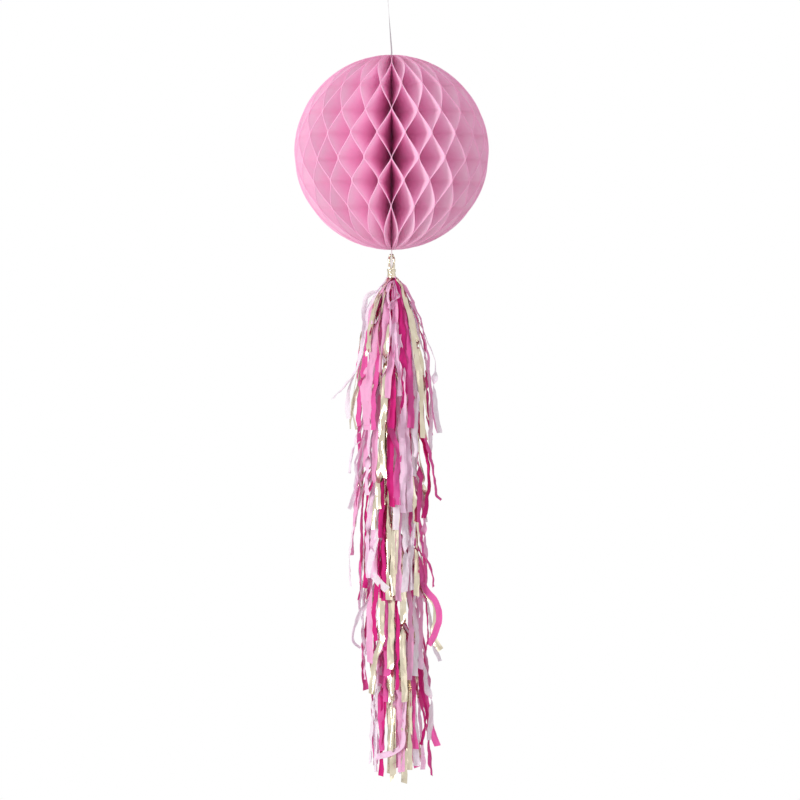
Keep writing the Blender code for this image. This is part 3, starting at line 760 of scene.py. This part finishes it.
def crumples(along, across, pitch, chance):
    """Flat facets between creases about this far apart, from -1 to 1."""
    x = (along + 0.45 * across) / pitch
    y = (across * 1.25 - 0.3 * along) / pitch
    x, y = x - x.min(), y - y.min()
    knots = np.array([[chance.uniform(-1, 1) for _ in range(int(y.max()) + 2)] for _ in range(int(x.max()) + 2)])
    i, j = x.astype(int), y.astype(int)
    a, b = x - i, y - j
    low = knots[i, j] * (1 - b) + knots[i, j + 1] * b
    high = knots[i + 1, j] * (1 - b) + knots[i + 1, j + 1] * b
    return low * (1 - a) + high * a


def hang_strip(sheet, letter, route, seed, on_edge=False, bright=None):
    """A strip of crumpled tissue or film along its line."""
    chance = random.Random(seed)
    film = letter == "f"
    line, stops = through(route, 0.0027)
    centre = np.stack([middle_x(line[:, 2]), 0 * line[:, 0], line[:, 2]], axis=1)
    out = line - centre
    out /= np.maximum(np.linalg.norm(out, axis=1, keepdims=True), 1e-9)
    level = np.stack([-out[:, 1], out[:, 0], 0 * out[:, 0]], axis=1)
    kink = 0.0007 if film else 0.0013
    line = line + level * wander(stops, 0.011, kink, chance, 0.02)[:, None]
    line = line + out * wander(stops, 0.013, kink, chance, 0.02)[:, None]
    along = np.gradient(line, axis=0)
    along /= np.linalg.norm(along, axis=1, keepdims=True)
    across = level - along * np.sum(level * along, axis=1, keepdims=True)
    across /= np.maximum(np.linalg.norm(across, axis=1, keepdims=True), 1e-9)
    square = np.cross(along, across)
    # Twists: some strips turn right over once on their way down
    turn = wander(stops, 0.045, 0.55, chance, 0.015)
    if on_edge:
        turn = turn * 0.5 + 1.25 * smooth((stops - 0.01) / 0.03)
    elif chance.random() < (0.4 if film else 0.25):
        start = chance.uniform(0.3, 0.8) * stops[-1]
        turn = turn + chance.choice((-1, 1)) * math.pi * smooth((stops - start) / 0.03)
    turn = turn[:, None]
    wide_way = across * np.cos(turn) + square * np.sin(turn)
    high_way = square * np.cos(turn) - across * np.sin(turn)
    # Folds down its length, and the curl of its edges
    columns = np.linspace(-1, 1, 9)
    fold = chance.choice((-1, 1)) * chance.uniform(0.05, 0.35 if film else 0.8)
    fold = fold + wander(stops, 0.03, 0.25 if film else 0.55, chance)
    fold = fold + math.copysign(0.9, fold[0]) * (1 - smooth(stops / 0.03))
    place = wander(stops, 0.04, 0.45, chance)
    curl = wander(stops, 0.035, 0.5 if film else 0.8, chance)
    lean = fold[:, None] * np.tanh((columns[None, :] - place[:, None]) / 0.25) + curl[:, None] * columns[None, :]
    wide = STRIP_WIDTH * chance.uniform(0.86, 1.04) * (1 - 0.45 * (1 - smooth(stops / 0.028)))
    pitch = wide / (len(columns) - 1)
    a = np.cumsum(np.cos(lean), axis=1) * pitch[:, None]
    b = np.cumsum(np.sin(lean), axis=1) * pitch[:, None]
    a -= a.mean(axis=1, keepdims=True)
    b -= b.mean(axis=1, keepdims=True)
    flat = columns[None, :] * STRIP_WIDTH / 2 + 0 * stops[:, None]
    far = stops[:, None] + 0 * columns[None, :]
    if film:
        b = b + crumples(far, flat, 0.013, chance) * 0.0006 + crumples(far, flat, 0.005, chance) * 0.0002
    else:
        b = b + crumples(far, flat, 0.0075, chance) * 0.0012 + crumples(far, flat, 0.0035, chance) * 0.0004
    grid = line[:, None] + wide_way[:, None] * a[..., None] + high_way[:, None] * b[..., None]
    slant = columns[None, :] * chance.uniform(-0.0012, 0.0012) * smooth((stops - stops[-1]) / 0.008 + 1)[:, None]
    grid = grid + along[:, None] * slant[..., None]
    lay = np.stack([flat, far, np.full(flat.shape, seed * 0.0137)], axis=2)
    dye = chance.uniform(0, 0.45) if bright is None else bright
    edge = np.stack([np.full(flat.shape, dye), smooth((np.abs(flat) * 2 / STRIP_WIDTH - 0.7) / 0.3)])
    sheet.add_sheet(grid, 0.00012, lay, edge[0])


def add_neck(sheet, tassel, layer, seed):
    """The rolled middle of a sheet on the cord, gathered into pleats."""
    chance = random.Random(seed)
    film = layer == 3
    z = NECK_Z - tassel * TASSEL_PITCH
    heights = np.linspace(-0.003 if film else -0.001, NECK_HEIGHT, 18)
    line = np.stack([np.full(18, AXIS), np.zeros(18), z + heights], axis=1)
    radius = NECK_RADII[layer] * (1 + 0.16 * np.abs(np.linspace(-1, 1, 18)))
    rings, lay = round_tube(line, radius, 28, lobes=7, pitch=0.026)
    rough = crumples(lay[..., 1], lay[..., 0], 0.004, chance) * (0.0008 if film else 0.0002)
    away = rings - line[:, None]
    rings = rings + away / np.linalg.norm(away, axis=2, keepdims=True) * rough[..., None]
    lay[..., 2] = seed * 0.0137
    sheet.add_tube(rings, lay)


def add_foil_loop(sheet, tassel, seed):
    """The foil's middle drawn up into a loop of twisted band."""
    chance = random.Random(seed)
    z = NECK_Z - tassel * TASSEL_PITCH + NECK_HEIGHT - 0.001
    turns = np.linspace(0, math.pi, 40)
    x = AXIS + (0.0022 + 0.0030 * np.sin(turns)) * np.cos(turns) * 1.15
    y = 0.0036 * np.sin(turns)
    line = np.stack([x, y, z + 0.0232 * np.sin(turns)], axis=1)
    rings, lay = round_tube(line, 0.0020 + 0.0003 * np.sin(turns * 11), 14, lobes=3, pitch=0.016)
    rough = crumples(lay[..., 1], lay[..., 0], 0.003, chance) * 0.00035
    away = rings - line[:, None]
    rings = rings + away / np.linalg.norm(away, axis=2, keepdims=True) * rough[..., None]
    lay[..., 2] = seed * 0.0137
    sheet.add_tube(rings, lay)


def add_tassels(finishes):
    for tassel in range(5):
        sheets = {}
        for layer, (letter, name) in enumerate(SHEETS.items()):
            seed = 1000 * tassel + 100 * layer + 17
            sheet = sheets[letter] = Sheets(f"fringe_{tassel + 1}_{name}")
            add_neck(sheet, tassel, layer, seed)
            if letter == "f":
                add_foil_loop(sheet, tassel, seed)
            for slot in range(10, 20):
                if TASSELS[tassel][slot] == letter:
                    chance = random.Random(seed + slot)
                    route = slot_route(tassel, slot, layer, STRIP_LENGTH * chance.uniform(0.9, 1), chance)
                    hang_strip(sheet, letter, route, seed + slot)
        for number, strip in enumerate(SEEN[tassel]):
            kind, *dots = strip.split()
            letter = kind[0].lower()
            route = seen_route(tassel, int(kind[1]), dots)
            bright = 1.0 if kind[0].isupper() else None
            seed = 1000 * tassel + 500 + number
            hang_strip(sheets[letter], letter, route, seed, kind.endswith("*"), bright)
        for letter, name in SHEETS.items():
            sheets[letter].piece(finishes[letter], SLOTS[letter], f"tassel_{tassel + 1}_{name}")


stage_camera()
light_room()
lay_floor()
add_ribbon(ribbon_material())
add_core_cord(cord_material())
# The third colour is painted rim light on the leaves' edges
add_ball(tissue("pink tissue paper of the ball", "#FFECF8", "#FFE6F5", "#FFDBF1", 0.34))
add_tassels(
    {
        "w": tissue("white tissue paper", "#FBF6FB", "#F7F0F7", "#FAEBF6", 0.3, clear=0.12),
        "p": tissue("pale pink tissue paper", "#FBE6F6", "#F8DDF2", "#F7BDE1", 0.26),
        "h": tissue("hot pink tissue paper", "#F57CC6", "#F068BA", "#E02C8C", 0.24),
        "f": foil_material(),
    }
)
